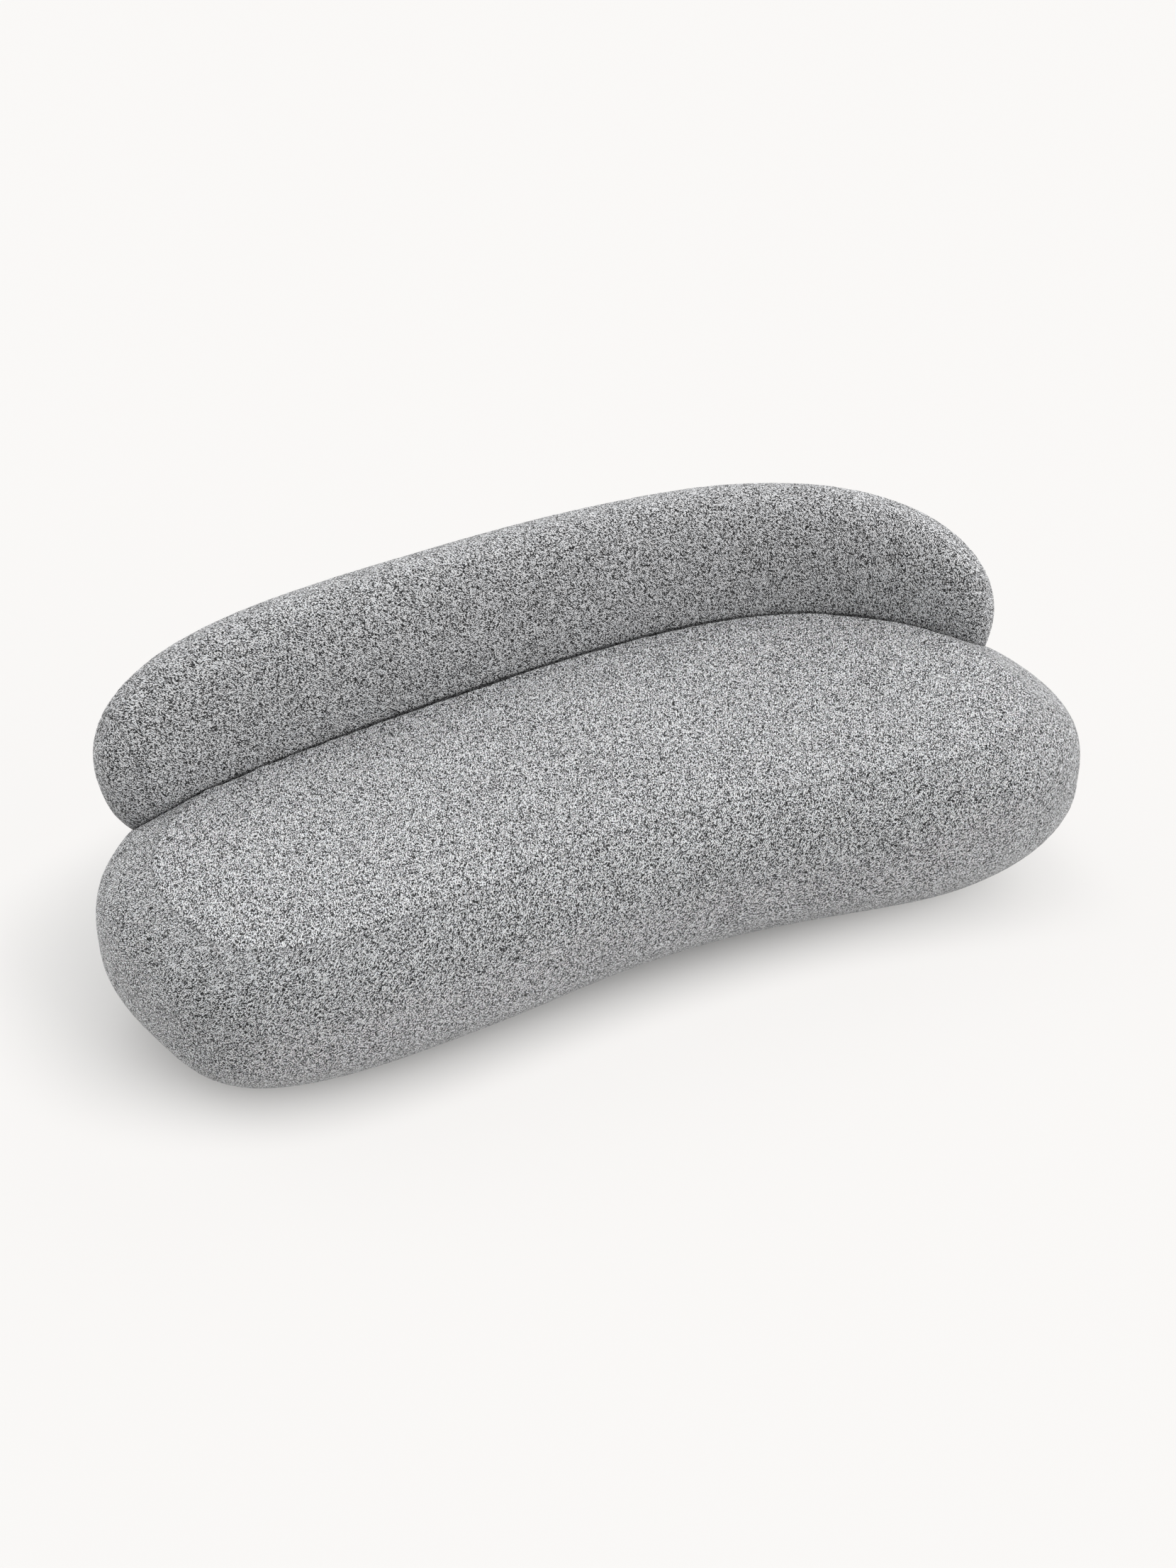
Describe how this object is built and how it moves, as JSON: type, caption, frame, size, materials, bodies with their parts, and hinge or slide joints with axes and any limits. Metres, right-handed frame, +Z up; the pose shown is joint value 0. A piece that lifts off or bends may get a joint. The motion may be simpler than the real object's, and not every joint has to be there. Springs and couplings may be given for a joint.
{
  "type": "curved sofa",
  "caption": "Curved sofa in grey boucle: a bean-shaped seat with a crowned top and rolled edge, and a long rounded backrest along its rear.",
  "frame": {"origin": "on the floor, under the middle of the sofa's bounding box", "axes": "+X along the length, to the right as the sofa is faced; +Y towards the back; +Z up"},
  "size_m": [2.1874, 1.005, 0.7458],
  "materials": {
    "boucle": "looped grey melange boucle, matt",
    "foam": "moulded upholstery foam",
    "felt": "pressed felt pad",
    "plywood": "raw birch plywood",
    "spring_steel": "oiled spring wire",
    "bracket_steel": "black powder coat",
    "zinc": "bright zinc plate",
    "webbing": "woven elastic webbing",
    "cambric": "black dust cloth",
    "foot_plastic": "black moulded plastic"
  },
  "bodies": {
    "root": {"seat_cover": "boucle", "back_cover": "boucle", "seat_foam": "foam", "seat_spring_1": "spring_steel", "seat_spring_2": "spring_steel", "seat_spring_3": "spring_steel", "seat_spring_4": "spring_steel", "seat_spring_5": "spring_steel", "seat_spring_6": "spring_steel", "seat_spring_7": "spring_steel", "front_clip_strip": "zinc", "rear_clip_strip": "zinc", "spring_tie_wire": "spring_steel", "seat_insulator": "felt", "front_base_rail": "plywood", "rear_base_rail": "plywood", "right_base_rail": "plywood", "left_base_rail": "plywood", "front_top_rail": "plywood", "rear_top_rail": "plywood", "right_top_rail": "plywood", "left_top_rail": "plywood", "left_cross_rail": "plywood", "centre_cross_rail": "plywood", "right_cross_rail": "plywood", "front_frame_rib_1": "plywood", "front_frame_rib_2": "plywood", "rear_frame_rib_1": "plywood", "rear_frame_rib_2": "plywood", "right_end_frame_rib": "plywood", "left_end_frame_rib": "plywood", "back_top_rail": "plywood", "back_bottom_rail": "plywood", "back_rib_1": "plywood", "back_rib_2": "plywood", "back_rib_3": "plywood", "back_rib_4": "plywood", "back_rib_5": "plywood", "lower_back_webbing": "webbing", "upper_back_webbing": "webbing", "back_foam": "foam", "left_back_bracket": "bracket_steel", "left_bracket_bolt": "zinc", "left_bracket_nut": "zinc", "left_bracket_screw": "zinc", "centre_back_bracket": "bracket_steel", "centre_bracket_bolt": "zinc", "centre_bracket_nut": "zinc", "centre_bracket_screw": "zinc", "right_back_bracket": "bracket_steel", "right_bracket_bolt": "zinc", "right_bracket_nut": "zinc", "right_bracket_screw": "zinc", "dust_cover": "cambric", "foot_front_left": "foot_plastic", "foot_front_middle": "foot_plastic", "foot_front_right": "foot_plastic", "foot_rear_left": "foot_plastic", "foot_rear_middle": "foot_plastic", "foot_rear_right": "foot_plastic"}
  },
  "joints": []
}
